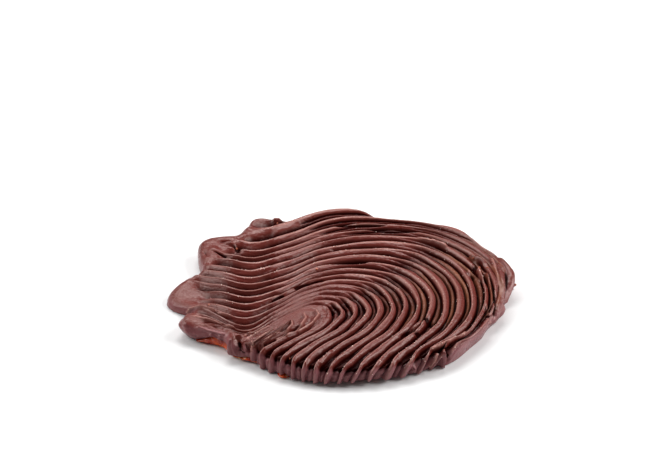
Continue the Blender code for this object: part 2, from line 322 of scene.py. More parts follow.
def drape(plan):
    """Points of the smooth coat, where they face, and their share of the way to the lip."""
    radius = np.hypot(plan[:, 0], plan[:, 1])
    bearing = bearing_of(plan[:, 0], plan[:, 1])
    angle = np.radians(bearing)
    roll_radius = rounding(bearing)
    start = rim_radius(bearing) - roll_radius
    flat_radius = np.minimum(radius, start)
    height = crest_height(flat_radius * np.cos(angle), flat_radius * np.sin(angle))
    quarter = roll_radius * math.pi / 2.0
    wall = np.maximum(height - roll_radius - lip_height(bearing), 0.0)
    share = np.clip((radius - flat_radius) / (WALL_REACH + roll_radius - RIM_ROUND), 0.0, 1.0)
    down = share * (quarter + wall)
    roll = np.minimum(down, quarter) / roll_radius
    # the wall bulges half way down, and draws in again at its foot
    belly = wall_belly(bearing) * (np.sin(math.pi * share) ** 2 - 0.6 * share ** 3)
    tuck = with_bumps(0.0, bearing, TUCKS) * share ** 3
    reach = flat_radius + roll_radius * np.sin(roll) + belly - tuck
    drop = roll_radius * (1.0 - np.cos(roll)) + np.maximum(down - quarter, 0.0)
    points = np.stack([reach * np.cos(angle), reach * np.sin(angle),
                       np.maximum(height - drop, lip_height(bearing))], axis=1)
    normals = np.stack([np.sin(roll) * np.cos(angle), np.sin(roll) * np.sin(angle),
                        np.cos(roll)], axis=1)
    return points, normals, share


print("the rim's radius runs from", RIM_ROUND, "to",
      round(float(rounding(np.arange(360.0)).max()), 1), "mm")

# %% [markdown]
# ## How hard the comb pressed
# The marks are full over most of the cookie.  They fade on the left lobes, on the smooth
# bulge at the right and around the curl, where strokes that crossed closed up again.  A
# painted mask could say so too.  Here each fade is one line: it starts at a place, a stroke
# or a gate, and "ease" spreads it softly over a width.


# %% How hard the comb pressed
def comb_strength(plan, stroke, gate):
    """Share of the comb's full depth, from 0 for smooth to 1."""
    x, y = plan[:, 0], plan[:, 1]
    bearing = bearing_of(x, y)
    radius = np.hypot(x, y)
    # the seam and the outermost border are smooth
    strength = ease((stroke - 0.2) / 0.7) * (1.0 - ease((stroke - 19.2) / 0.7))
    # the marks are shallower left of the trough, and the lobes' tips are smooth
    strength *= 1.0 - 0.25 * ease((-26.0 - x) / 8.0)
    smooth = 42.0 - 3.5 * ease((165.0 - bearing % 360.0) / 12.0) - 4.0 * bump(bearing, 186, 8)
    strength *= 1.0 - ease(1.5 * bump(bearing, 180, 36)) * ease((radius - smooth + 1.0) / 4.5)
    strength *= 1.0 - ease(1.3 * bump(bearing, 145, 20)) * ease((radius - 37.0) / 4.0)
    strength *= 1.0 - ease((1.0 - gate) / 0.6)
    # the strokes around the curl closed up again, then opened as the comb swung round
    closed = ease((7.9 - stroke) / 0.8) * ease((gate - 2.5) / 0.9) * ease((6.1 - gate) / 0.5)
    strength *= 1.0 - 0.62 * closed
    strength *= 1.0 - 0.55 * ease((11.5 - stroke) / 2.0) * np.exp(-((gate - 4.0) / 0.8) ** 2)
    strength *= 1.0 - 0.88 * ease((3.6 - stroke) / 0.6) * ease((8.6 - gate) / 1.2)
    # the front right rim and the bulge at the right set smooth
    strength *= 1.0 - ease((stroke - 15.7) / 1.0) * ease((gate - 7.6) / 1.0)
    return strength * (1.0 - bump(bearing, -8, 42) * ease((stroke - 15.6) / 1.5))


middle_strength = comb_strength(np.array([[10.0, 20.0]]), np.array([12.0]), np.array([6.0]))
print("strength in the middle of the combed part:", round(float(middle_strength[0]), 2))

# %% [markdown]
# ## Folds, tears and lumps
# Half-set chocolate tears.  Here and there the comb lifted a flake, bridged a groove or
# rolled up a fold at the rim.  Each of these is a soft ridge along a short line, or a hole
# where its lift is negative.  Sculpting would do too, but a list stays easy to change.
# Ridges under half a millimetre wide count as thin rims, which get a pale painted highlight.
# The outermost ropes also split lengthwise where the comb stretched them.

# %% Folds, tears and lumps
# from x, y to x, y on the flattened coat, then half width and lift, all in mm
FOLDS = (
    # slits where strokes closed up again behind the comb
    (-20.6, -11.6, -16.4, -7.3, 0.65, -2.0), (-22.5, -9.4, -18.6, -6.4, 0.5, -1.6),
    (-21.3, -5.3, -16.7, -2.1, 0.5, -1.7), (-13.0, -3.4, -8.8, -0.7, 0.65, -2.0),
    (-8.8, -0.7, -5.0, 1.2, 0.6, -2.0), (-5.0, 1.2, -1.0, 2.2, 0.45, -1.6),
    (-3.2, -14.3, -2.4, -16.2, 0.45, -1.5), (0.2, -12.2, 1.2, -15.2, 0.6, -1.8),
    (2.5, -9.2, 4.5, -11.4, 0.5, -1.6), (7.9, -4.2, 9.8, -5.9, 0.6, -1.5),
    (13.7, 1.2, 16.8, -3.3, 0.4, -1.4),
    # deeper grooves at the back
    (-2.0, 32.2, 15.0, 34.2, 0.5, -1.1), (7.0, 31.0, 23.5, 30.0, 0.5, -1.1),
    (-3.5, 19.6, 12.5, 20.6, 0.5, -1.1), (-5.5, 10.6, 8.5, 11.6, 0.5, -1.1),
    # rolled folds, the slit between them and swellings on the right rim
    (46.8, 13.5, 49.3, 6.9, 0.8, 0.9), (49.3, 6.9, 49.6, 2.2, 0.8, 1.1),
    (49.6, 2.2, 49.9, -4.5, 0.8, 1.2), (50.2, 2.7, 50.9, 2.0, 0.6, 1.6),
    (45.7, 8.5, 46.0, 0.4, 0.5, 0.8), (46.0, 0.4, 46.3, -4.1, 0.5, 0.9),
    (46.3, -4.1, 46.0, -8.5, 0.5, 0.8), (47.6, 7.0, 48.4, -6.5, 0.55, -1.4),
    (44.1, 13.1, 45.0, 4.7, 0.4, 0.5), (45.0, 4.7, 45.2, -2.0, 0.4, 0.5),
    (47.4, -10.6, 47.0, -13.0, 1.2, 1.0), (45.2, -14.8, 44.8, -17.2, 1.1, 0.8),
    (46.6, -8.9, 49.2, -8.2, 0.5, -1.0), (43.4, -7.0, 43.6, -17.0, 0.5, -1.2),
    (42.3, 6.0, 42.9, -14.0, 0.5, 0.5), (40.9, -15.8, 41.0, -16.4, 0.5, -1.1),
    (41.6, -17.6, 41.9, -18.6, 0.5, -1.1), (40.6, -13.0, 41.9, -20.0, 0.35, 0.7),
    # torn flakes and holes on the right
    (38.2, 14.6, 41.6, 11.3, 0.8, 0.9), (39.0, 8.6, 39.5, 7.6, 0.8, -1.7),
    (39.6, 7.0, 40.5, 1.6, 0.45, 1.2), (40.9, 4.6, 41.9, -1.2, 0.45, -1.6),
    (36.7, 5.8, 37.2, 4.4, 0.35, 0.9), (37.7, 5.4, 37.9, 3.6, 0.4, -1.5),
    (23.5, 26.0, 27.0, 24.2, 0.35, 0.5), (27.0, 24.2, 31.0, 21.2, 0.35, 0.8),
    # bridge over a groove near the front
    (18.3, -27.3, 22.3, -22.4, 0.5, 0.6), (23.9, -20.8, 25.4, -23.5, 0.9, -1.6),
    (20.6, -28.4, 21.4, -27.8, 0.5, -1.4), (16.5, -29.5, 18.6, -26.6, 0.5, -1.2),
    # lifted rim, flap and drips at the front right
    (24.4, -37.5, 29.5, -33.3, 0.35, 0.8), (29.5, -33.3, 34.0, -28.0, 0.35, 0.6),
    (26.6, -37.2, 29.4, -35.0, 0.3, -0.8), (28.0, -37.4, 30.6, -41.0, 0.5, 0.9),
    (30.4, -40.8, 30.8, -41.3, 0.5, 1.0), (26.2, -38.4, 25.6, -42.5, 0.4, 0.8),
    (29.6, -36.0, 31.6, -39.0, 0.4, -0.7), (21.0, -44.6, 21.2, -45.4, 0.6, 0.8),
    # speckled bridge between two ropes
    (-3.3, -39.3, -5.6, -44.5, 0.5, 0.35), (-5.2, -40.5, -3.2, -38.6, 0.5, 0.4),
    # rims, creases and swellings on the third lobe
    (-46.9, -10.4, -44.3, -10.2, 0.4, 0.7), (-44.3, -10.2, -42.1, -10.9, 0.35, 1.0),
    (-42.1, -10.9, -38.5, -13.3, 0.35, 1.0), (-38.5, -13.3, -35.5, -16.2, 0.35, 0.9),
    (-35.5, -16.2, -31.1, -19.1, 0.35, 0.6), (-43.0, -13.6, -38.5, -16.0, 0.8, -0.35),
    (-41.5, -18.5, -38.3, -20.1, 0.4, 0.6), (-38.3, -20.1, -33.4, -23.4, 0.4, 0.7),
    (-33.4, -23.4, -30.0, -25.1, 0.35, 0.5), (-37.0, -23.8, -33.0, -26.2, 0.6, -0.4),
    (-40.1, -24.1, -38.8, -25.7, 0.5, 0.8), (-38.8, -25.7, -34.5, -28.4, 0.5, 0.7),
    (-43.5, -17.5, -43.8, -22.0, 1.6, 0.9), (-46.0, -14.0, -46.3, -20.0, 2.0, 1.1),
    (-44.8, -24.2, -44.4, -25.0, 1.5, 0.8),
    # drips over the caramel and the curl at the notch
    (-43.0, -25.5, -40.5, -28.0, 0.9, 0.8), (-38.4, -27.8, -37.4, -30.8, 0.9, 1.0),
    (-36.0, -29.0, -38.2, -31.4, 0.9, 0.7), (-30.9, -31.4, -35.7, -36.4, 1.3, 1.3),
    (-29.8, -30.6, -31.0, -36.0, 0.6, 1.4), (-28.0, -30.2, -29.8, -30.6, 0.6, 1.0),
    (-28.6, -32.0, -29.2, -36.6, 0.6, -1.2), (-27.0, -33.6, -27.3, -36.6, 0.5, 0.9),
    (-24.8, -33.0, -25.4, -36.8, 0.4, 0.7), (-26.0, -33.4, -26.3, -36.4, 0.45, -0.9),
    # cracked lobe at the back left, and the edge torn over the caramel
    (-33.4, 23.6, -31.4, 22.4, 0.8, 0.8), (-30.9, 22.6, -30.1, 20.0, 0.8, -1.5),
    (-35.5, 25.0, -32.5, 25.4, 0.5, -0.9), (-37.5, 19.0, -33.0, 16.5, 0.5, -0.8),
    (-37.6, 20.4, -36.8, 18.6, 1.2, 0.7), (-40.3, 19.8, -39.2, 17.2, 0.5, -0.5),
    (-19.8, 38.6, -18.4, 38.9, 0.7, 0.5),
    # thin strokes drawn together at the seam
    (-26.9, -32.2, -23.4, -28.1, 0.3, 0.5), (-23.4, -28.1, -20.2, -24.9, 0.3, 0.4),
    (-25.8, -34.3, -22.4, -30.6, 0.3, 0.5), (-22.4, -30.6, -19.1, -27.2, 0.3, 0.5),
    (-26.9, -29.6, -23.9, -26.2, 0.3, 0.4), (-21.3, -32.4, -17.3, -28.8, 0.3, 0.5),
    # tips where the innermost strokes closed up
    (-18.1, -31.9, -15.1, -27.9, 0.35, 0.5), (-15.1, -27.9, -13.7, -24.7, 0.35, 0.8),
    (-13.7, -24.7, -14.0, -22.9, 0.35, 0.8), (-15.0, -30.2, -11.3, -25.4, 0.35, 0.5),
    (-11.3, -25.4, -9.9, -21.3, 0.4, 0.9), (-9.9, -21.3, -10.5, -19.0, 0.35, 0.8),
    (-11.7, -28.0, -7.7, -23.0, 0.35, 0.5), (-7.7, -23.0, -6.3, -19.3, 0.4, 0.9),
    (-6.3, -19.3, -7.1, -17.2, 0.35, 0.8),
)
print(len(FOLDS), "folds and holes")

# %% [markdown]
# ## Lifting the folds and cutting the splits
# Each line of the list becomes a ridge with soft sides, highest on the line itself.  Where
# several lie close the highest wins, as chocolate that runs together doesn't pile up.  The
# splits follow the strokes instead, so they are given by stroke and gate.

# %% Lifting the folds and cutting the splits
THIN_RIM = 0.45   # half width up to which a ridge is a thin rim
LONG_SLIT = 8.0   # a slit of this length runs out fully towards its ends


def lift_of_folds(plan):
    """Lift of the coat in mm, depth of the holes, and where a thin rim gets a painted highlight.
    """
    raised = np.zeros(len(plan))
    sunk = np.zeros(len(plan))
    rims = np.zeros(len(plan))
    for x0, y0, x1, y1, width, lift in FOLDS:
        along = np.array((x1 - x0, y1 - y0))
        place = np.clip(((plan - (x0, y0)) @ along) / (along @ along), 0.0, 1.0)
        distance = np.linalg.norm(plan - (x0, y0) - place[:, None] * along, axis=1)
        ridge = abs(lift) * np.exp(-(distance / width) ** 2)
        if lift > 0.0:
            raised = np.maximum(raised, ridge)
            if width <= THIN_RIM:
                rims = np.maximum(rims, np.exp(-(distance / (0.7 * width)) ** 2))
        else:
            taper = min(np.hypot(*along) / LONG_SLIT, 1.0) * np.abs(2.0 * place - 1.0) ** 3
            sunk = np.maximum(sunk, ridge * (1.0 - taper))
    return raised, sunk, rims


# thin splits along the outer ropes at the back: stroke number, first and last gate
SPLITS = ((19.45, 2.7, 6.2), (18.8, 3.0, 5.3), (17.85, 3.3, 5.9), (16.85, 3.6, 5.0),
          (15.85, 4.2, 5.5))
SPLIT_DEPTH = 0.9
SPLIT_WIDTH = 0.08    # in strokes
SPLIT_END = 0.6       # in gates


def depth_of_splits(stroke, gate):
    sunk = np.zeros(len(stroke))
    for place, first, last in SPLITS:
        ends = ease((gate - first) / SPLIT_END) * ease((last - gate) / SPLIT_END)
        cut = np.exp(-((stroke - place) / SPLIT_WIDTH) ** 2)
        sunk = np.maximum(sunk, SPLIT_DEPTH * ends * cut)
    return sunk


print(len(SPLITS), "splits of at most", SPLIT_DEPTH, "mm")

# %% [markdown]
# ## A helper for node trees
# Every material and every Geometry Nodes tree below is built by code.  They could be put
# together in the node editor, but a script can be read and run again.  One small function
# adds a node, sets its values and links its inputs, so that a tree reads as a list of steps.


# %% A helper for node trees
def add_node(tree, kind, settings=None, *values, **inputs):
    """Add a node.  Values or output sockets go in by order, by label or by number (n2)."""
    node = tree.nodes.new(kind)
    for name, value in (settings or {}).items():
        setattr(node, name, value)
    inputs.update({f"n{index}": value for index, value in enumerate(values)})
    for name, value in inputs.items():
        name = name.replace("_", " ")
        socket = node.inputs[int(name[1:])] if name[1:].isdigit() else node.inputs[name]
        if isinstance(value, bpy.types.NodeSocket):
            tree.links.new(value, socket)
        else:
            socket.default_value = value
    return node


# %% [markdown]
# ## Colours and materials
# Colours are written here as sRGB hex values, as a colour picker shows them.  Blender's
# shaders count in linear light, so one function turns them.


# %% Colours and materials
def linear(hex_colour):
    """sRGB hex colour as linear red, green, blue and alpha."""
    levels = [int(hex_colour[index:index + 2], 16) / 255.0 for index in (1, 3, 5)]
    return (*[level / 12.92 if level <= 0.04045 else ((level + 0.055) / 1.055) ** 2.4
              for level in levels], 1.0)


def new_material(name):
    material = bpy.data.materials.new(name)
    material.use_nodes = True
    tree = material.node_tree
    return material, tree, tree.nodes["Principled BSDF"]


print("middle grey in linear light:", round(linear("#808080")[0], 3))

# %% [markdown]
# ## Dark chocolate
# Couverture is cocoa butter, cocoa solids and sugar, tempered so that it sets with a satin
# gloss.  It is a deep red-brown, and most of the pale mauve on the ridges is gloss.  Light
# and shade are partly painted into its colour here.  Sharp crests and thin rims are painted
# pale as highlights.  The wall and the smooth swellings carry a pale mauve painted sheen,
# as of the white floor mirrored in them.  The grooves, holes and splits are painted nearly
# black as shade, with their gloss turned down, and the low bands at the right get a lighter
# painted colour as if lit.  One colour and one roughness would look like plastic.  So the
# Principled shader, with an IOR near 1.5, mixes its colour by attributes that the sheet
# below carries: the crests' "edge", the painted sheen, the grooves' painted shade and the
# lit bands.  Drag marks of the comb and a fine grain break the gloss up.  The grain is drawn
# about 1 mm wide, coarser than the real one, because it wouldn't show otherwise.


# %% Dark chocolate
def make_chocolate():
    material, tree, shader = new_material("tempered_dark_chocolate")
    place = add_node(tree, "ShaderNodeTexCoord").outputs["Object"]
    blotch = add_node(tree, "ShaderNodeTexNoise", Vector=place, Scale=1.0 / (9 * MM),
                      Detail=3.0).outputs["Fac"]
    grain = add_node(tree, "ShaderNodeTexNoise", Vector=place, Scale=1.0 / (0.9 * MM),
                     Detail=4.0).outputs["Fac"]
    tint = add_node(tree, "ShaderNodeMix", {"data_type": "RGBA"}, n0=blotch,
                    n6=linear("#591E1A"), n7=linear("#6D2C24")).outputs[2]
    # painted sheen: pale mauve on the wall and swellings, standing for the mirrored white floor
    painted_sheen = add_node(tree, "ShaderNodeAttribute", {"attribute_name": "painted_sheen"}).outputs["Fac"]
    tint = add_node(tree, "ShaderNodeMix", {"data_type": "RGBA"}, n0=painted_sheen, n6=tint,
                    n7=linear("#8E5A5E")).outputs[2]
    # painted highlight: the sharp crests and thin rims are painted pale
    edge = add_node(tree, "ShaderNodeAttribute", {"attribute_name": "edge"}).outputs["Fac"]
    edge = add_node(tree, "ShaderNodeMapRange", Value=edge, n1=0.1, n2=1.2, n4=0.7).outputs[0]
    tint = add_node(tree, "ShaderNodeMix", {"data_type": "RGBA"}, n0=edge, n6=tint,
                    n7=linear("#B57F74")).outputs[2]
    # painted shade: the grooves, holes and splits are painted nearly black
    groove_shade = add_node(tree, "ShaderNodeAttribute", {"attribute_name": "groove_shade"}).outputs["Fac"]
    deep = add_node(tree, "ShaderNodeMapRange", Value=groove_shade, n1=0.2, n2=0.6).outputs[0]
    tint = add_node(tree, "ShaderNodeMix", {"data_type": "RGBA"}, n0=deep, n6=tint,
                    n7=linear("#230302")).outputs[2]
    # painted light: the low bands between the ropes at the right are painted lighter, as if lit
    lit_band = add_node(tree, "ShaderNodeAttribute", {"attribute_name": "lit_band"}).outputs["Fac"]
    tint = add_node(tree, "ShaderNodeMix", {"data_type": "RGBA"}, n0=lit_band, n6=tint,
                    n7=linear("#84503A")).outputs[2]
    tree.links.new(tint, shader.inputs["Base Color"])
    # painted shade: the grooves' gloss is turned down too, standing for the lights they would
    # hide
    level = add_node(tree, "ShaderNodeMapRange", Value=groove_shade, n1=0.15, n2=0.6, n3=0.4,
                     n4=0.02).outputs[0]
    tree.links.new(level, shader.inputs["Specular IOR Level"])
    gloss = add_node(tree, "ShaderNodeMapRange", Value=blotch, n1=0.3, n2=0.7, n3=0.24,
                     n4=0.34).outputs[0]
    tree.links.new(gloss, shader.inputs["Roughness"])
    # drag marks run along the strokes, a fine grain lies over them
    drawn = add_node(tree, "ShaderNodeAttribute", {"attribute_name": "drawn"}).outputs["Vector"]
    streak = add_node(tree, "ShaderNodeMapping", Vector=drawn, Scale=(9.0, 0.9, 1.0)).outputs[0]
    streak = add_node(tree, "ShaderNodeTexNoise", Vector=streak, Scale=1.0,
                      Detail=3.0).outputs["Fac"]
    relief = add_node(tree, "ShaderNodeBump", Height=streak, Strength=0.5,
                      Distance=0.3 * MM).outputs[0]
    relief = add_node(tree, "ShaderNodeBump", Height=grain, Strength=0.45, Distance=0.4 * MM,
                      Normal=relief).outputs[0]
    tree.links.new(relief, shader.inputs["Normal"])
    shader.inputs["IOR"].default_value = 1.5
    shader.inputs["Specular Tint"].default_value = linear("#FFE6DE")
    return material


chocolate = make_chocolate()
print("made", chocolate.name)

# %% [markdown]
# ## Pressing the comb's profile with Geometry Nodes
# A tooth left a broad rope and, in places, a low band or a thin rim beside it.  A profile
# stays the same along a stretch of the stroke, so it is drawn once, as a Float Curve over
# the stroke number's fraction.  The comb leaned differently on its way: it cut ramps at
# the back, ropes with a band at the right, steps where it turned, open grooves at the front
# and fins on the wall.  That makes five curves, which are mixed by attributes that say
# where each of them holds.  Curves swept along the path would do for plain ropes, but they
# couldn't blend into each other or into the smooth lobes.

# %% Pressing the comb's profile
# place across one pitch, and height from the groove's floor (0) to the crest (1)
PLACES = (0.0, 0.08, 0.14, 0.20, 0.24, 0.28, 0.32, 0.38, 0.44, 0.48, 0.52, 0.57, 0.62, 0.68,
          0.74, 0.79, 0.84, 0.91, 1.0)
# a ramp up to a sharp edge, with a narrow deep groove behind it
BACK_PROFILE = (1.0, 0.97, 0.6, 0.1, 0.0, 0.0, 0.0, 0.0, 0.02, 0.12, 0.3, 0.54, 0.7, 0.82,
                0.88, 0.92, 0.95, 0.98, 1.0)
# a rope and a low band beside it, where the comb stood on edge
SIDE_PROFILE = (0.97, 0.95, 0.92, 0.86, 0.76, 0.5, 0.1, 0.05, 0.46, 0.55, 0.58, 0.59, 0.57, 0.5,
                0.15, 0.0, 0.45, 1.0, 0.97)
# a step with a steep near side, where the comb turned
TURN_PROFILE = (1.0, 0.85, 0.5, 0.2, 0.08, 0.0, 0.0, 0.04, 0.1, 0.15, 0.21, 0.28, 0.37, 0.48,
                0.58, 0.66, 0.74, 0.86, 1.0)
# ropes with a thin rim in the open groove between them
FRONT_PROFILE = (0.95, 0.9, 0.85, 0.8, 0.7, 0.52, 0.3, 0.1, 0.0, 0.05, 0.3, 0.6, 0.25, 0.0,
                 0.0, 0.2, 0.7, 1.0, 0.95)
# fins with a smooth band between them on the wall
WALL_PROFILE = (0.95, 0.88, 0.75, 0.55, 0.32, 0.18, 0.16, 0.24, 0.32, 0.36, 0.38, 0.38, 0.36,
                0.32, 0.22, 0.05, 0.3, 1.0, 0.95)
CREST_PLACE = 0.1  # the crest lies a little outward of the comb's line


def draw_profile(mapping, heights):
    """Draw one profile of the comb into a Float Curve's mapping."""
    curve = mapping.curves[0]
    curve.points[0].location = (0.0, heights[0])
    curve.points[1].location = (1.0, heights[-1])
    for place, height in zip(PLACES[1:-1], heights[1:-1]):
        curve.points.new(place, height)
    for point in curve.points:
        point.handle_type = "VECTOR"
    mapping.update()


print("points on each profile:", len(PLACES))

# %% [markdown]
# ## Running a tree on a mesh
# A Geometry Nodes tree works as a modifier.  It could stay on its object, but a plain mesh
# is easier to hand on.  So the result is copied and the modifier is taken off again.  Its
# inputs are set by their sockets' identifiers, because a label may change or occur twice.


# %% Running a tree on a mesh
def new_geometry_tree(name, inputs):
    """Geometry Nodes tree with a mesh socket and named number sockets."""
    tree = bpy.data.node_groups.new(name, "GeometryNodeTree")
    tree.interface.new_socket("Mesh", in_out="INPUT", socket_type="NodeSocketGeometry")
    for label, value in inputs.items():
        kind = "NodeSocketInt" if isinstance(value, int) else "NodeSocketFloat"
        socket = tree.interface.new_socket(label, in_out="INPUT", socket_type=kind)
        socket.default_value = value
    tree.interface.new_socket("Mesh", in_out="OUTPUT", socket_type="NodeSocketGeometry")
    return tree, tree.nodes.new("NodeGroupInput"), tree.nodes.new("NodeGroupOutput")


def apply_tree(item, tree, sizes):
    """Run a tree on an object, with these sizes, and return the result as a plain mesh."""
    modifier = item.modifiers.new(tree.name, "NODES")
    modifier.node_group = tree
    for socket in tree.interface.items_tree:
        if socket.in_out == "INPUT" and socket.name in sizes:
            modifier[socket.identifier] = sizes[socket.name]
    bpy.context.view_layer.update()
    depsgraph = bpy.context.evaluated_depsgraph_get()
    mesh = bpy.data.meshes.new_from_object(item.evaluated_get(depsgraph))
    item.modifiers.clear()
    return mesh


def add_object(name, mesh):
    item = bpy.data.objects.new(name, mesh)
    bpy.context.scene.collection.objects.link(item)
    return item


# %% [markdown]
# ## The tree that presses the comb in
# The tree reads what the sheet's vertices know, looks up the profiles and pushes every
# vertex in along the direction that the smooth coat faces.  A Displace modifier with a
# texture can't mix profiles like this.  The depth of the groove and the sharpness of the
# edge are stored on the way, because the chocolate's painted shade in the grooves and its
# painted highlights on the edges follow them.

# %% Reading the profiles
# attributes of the sheet that the tree reads
VECTORS = ("drawn", "facing")
NUMBERS = ("stroke", "strength", "side", "front", "wall", "turn", "open", "sunk", "rim")


def read_attributes(tree):
    """What the sheet's vertices know, by name."""
    known = {}
    for name in VECTORS + NUMBERS:
        kind = "FLOAT_VECTOR" if name in VECTORS else "FLOAT"
        known[name] = add_node(tree, "GeometryNodeInputNamedAttribute", {"data_type": kind},
                               Name=name).outputs["Attribute"]
    return known


def read_profiles(tree, known):
    """Height of the profile that holds here, at this place across the pitch."""
    phase = add_node(tree, "ShaderNodeMath", {"operation": "SUBTRACT"}, known["stroke"],
                     CREST_PLACE).outputs[0]
    phase = add_node(tree, "ShaderNodeMath", {"operation": "FRACT"}, phase).outputs[0]
    back = add_node(tree, "ShaderNodeFloatCurve", Value=phase)
    draw_profile(back.mapping, BACK_PROFILE)
    height = back.outputs[0]
    for zone, heights in (("side", SIDE_PROFILE), ("front", FRONT_PROFILE),
                          ("wall", WALL_PROFILE), ("turn", TURN_PROFILE)):
        there = add_node(tree, "ShaderNodeFloatCurve", Value=phase)
        draw_profile(there.mapping, heights)
        height = add_node(tree, "ShaderNodeMix", n0=known[zone], n2=height,
                          n3=there.outputs[0]).outputs[0]
    return height


print("attributes that the tree reads:", len(VECTORS + NUMBERS))

# %% [markdown]
# ## How deep each tooth pressed
# A comb loads up with chocolate and drops it again, so no two ropes are quite alike.  Equal
# ropes would look machined.  A slow noise along the strokes changes the depth a little, and
# a fine one leaves drag marks and lumps.

# %% How deep each tooth pressed
COMB_SIZES = {
    "Depth": 2.5 * MM,      # from the crest to the floor of the groove
    "Unevenness": 0.6,      # how much the load on the teeth changes
    "Ripple": 0.1 * MM,     # drag marks and lumps that remain
}


def comb_tree():
    tree, enter, leave = new_geometry_tree("comb_marks", COMB_SIZES)
    known = read_attributes(tree)
    height = read_profiles(tree, known)
    # the teeth dragged more or less chocolate along
    load = add_node(tree, "ShaderNodeTexNoise", Vector=known["drawn"], Scale=1.0,
                    Detail=2.0).outputs["Fac"]
    load = add_node(tree, "ShaderNodeMath", {"operation": "SUBTRACT"}, load, 0.5).outputs[0]
    swing = add_node(tree, "ShaderNodeMath", {"operation": "MULTIPLY"},
                     enter.outputs["Unevenness"], 2.0).outputs[0]
    load = add_node(tree, "ShaderNodeMath", {"operation": "MULTIPLY"}, load, swing).outputs[0]
    load = add_node(tree, "ShaderNodeMath", {"operation": "ADD"}, 1.0, load).outputs[0]
    cut = add_node(tree, "ShaderNodeMath", {"operation": "SUBTRACT"}, 1.0, height).outputs[0]
    for factor in (known["strength"], load):
        cut = add_node(tree, "ShaderNodeMath", {"operation": "MULTIPLY"}, cut,
                       factor).outputs[0]
    # painted shade follows the cut, weaker on open steps and at the wall's foot than in closed
    # grooves
    closed = add_node(tree, "ShaderNodeMath", {"operation": "SUBTRACT"}, 1.0,
                      known["open"]).outputs[0]
    shade = add_node(tree, "ShaderNodeMath", {"operation": "MULTIPLY"}, cut,
                     closed).outputs[0]
    # the holes and splits get the painted shade as well
    shade = add_node(tree, "ShaderNodeMath", {"operation": "MAXIMUM"}, shade,
                     known["sunk"]).outputs[0]
    # painted highlight: the sharp edges and the thin rims are marked to be painted pale
    edge = add_node(tree, "ShaderNodeMapRange", Value=height, n1=0.96, n2=1.0).outputs[0]
    for factor in (known["strength"], load):
        edge = add_node(tree, "ShaderNodeMath", {"operation": "MULTIPLY"}, edge,
                        factor).outputs[0]
    edge = add_node(tree, "ShaderNodeMath", {"operation": "MAXIMUM"}, edge,
                    known["rim"]).outputs[0]
    marked = enter.outputs["Mesh"]
    for name, value in (("groove_shade", shade), ("edge", edge)):
        marked = add_node(tree, "GeometryNodeStoreNamedAttribute", {"data_type": "FLOAT"},
                          Geometry=marked, Name=name, n3=value).outputs[0]
    # the teeth press in, and fine drag marks and lumps remain
    press = add_node(tree, "ShaderNodeMath", {"operation": "MULTIPLY"}, cut,
                     enter.outputs["Depth"]).outputs[0]
    drag = add_node(tree, "ShaderNodeTexNoise", Vector=known["drawn"], Scale=3.5,
                    Detail=3.0).outputs["Fac"]
    drag = add_node(tree, "ShaderNodeMath", {"operation": "SUBTRACT"}, drag, 0.5).outputs[0]
    swing = add_node(tree, "ShaderNodeMath", {"operation": "MULTIPLY"},
                     enter.outputs["Ripple"], 2.0).outputs[0]
    drag = add_node(tree, "ShaderNodeMath", {"operation": "MULTIPLY"}, drag, swing).outputs[0]
    move = add_node(tree, "ShaderNodeMath", {"operation": "SUBTRACT"}, drag, press).outputs[0]
    offset = add_node(tree, "ShaderNodeVectorMath", {"operation": "SCALE"},
                      n0=known["facing"], Scale=move).outputs[0]
    moved = add_node(tree, "GeometryNodeSetPosition", Geometry=marked,
                     Offset=offset).outputs[0]
    realized = add_node(tree, "GeometryNodeRealizeInstances", Geometry=moved).outputs[0]
    painted = add_node(tree, "GeometryNodeSetMaterial", Geometry=realized,
                       Material=chocolate).outputs[0]
    tree.links.new(painted, leave.inputs["Mesh"])
    return tree


comb_marks = comb_tree()
print("nodes in the comb's tree:", len(comb_marks.nodes))

# %% [markdown]
# ## What each vertex of the sheet knows
# The node tree and the material ask, at every point, how hard the comb pressed, which
# profile holds, and where painted shade, painted highlights, painted sheen and painted light
# go.  Vertex groups could say so, but they are slow to fill one vertex at a time.
# Attributes are filled in one go from an array.

# %% What each vertex of the sheet knows
SHEEN_AT_THE_FRONT = (270, 80)   # bearing and spread of the strongest painted sheen on the wall
SWOLLEN_RIM = (-25, 22)
SHEEN_AT_THE_RIGHT = (322, 16)
LIT_BAND_STROKE = 13.5              # middle of the strokes whose low bands get the painted light
LIT_BAND_SPREAD = 4.5


def store(mesh, name, kind, values):
    attribute = mesh.attributes.new(name, kind, "POINT")
    key = "vector" if kind == "FLOAT_VECTOR" else "value"
    attribute.data.foreach_set(key, np.asarray(values, dtype=np.float32).ravel())


def painted_sheen_of(plan, share, stroke):
    """Where a pale painted sheen goes: low on the wall and on the right bulge."""
    bearing = bearing_of(plan[:, 0], plan[:, 1])
    bulge = bump(bearing, *SWOLLEN_RIM) * ease((stroke - 17.5) / 1.5)
    wall = ease((share - 0.25) / 0.3) * (0.3 + 0.95 * bump(bearing, *SHEEN_AT_THE_FRONT))
    sheen = 0.7 + 0.25 * bump(bearing, *SHEEN_AT_THE_RIGHT)
    return sheen * np.maximum(wall, bulge)


def lit_band_of(stroke, gate):
    """Painted light on the low band between the ropes, where the comb swung round at the right.
    """
    phase = (stroke - CREST_PLACE) % 1.0
    band = ease((phase - 0.38) / 0.08) * ease((0.74 - phase) / 0.08)
    swing = ease((gate - 5.9) / 0.8) * ease((8.4 - gate) / 0.8)
    swing = swing * bump(stroke, LIT_BAND_STROKE, LIT_BAND_SPREAD)
    return band * swing * (0.65 + 0.3 * np.sin(2.7 * gate + 1.9 * stroke))


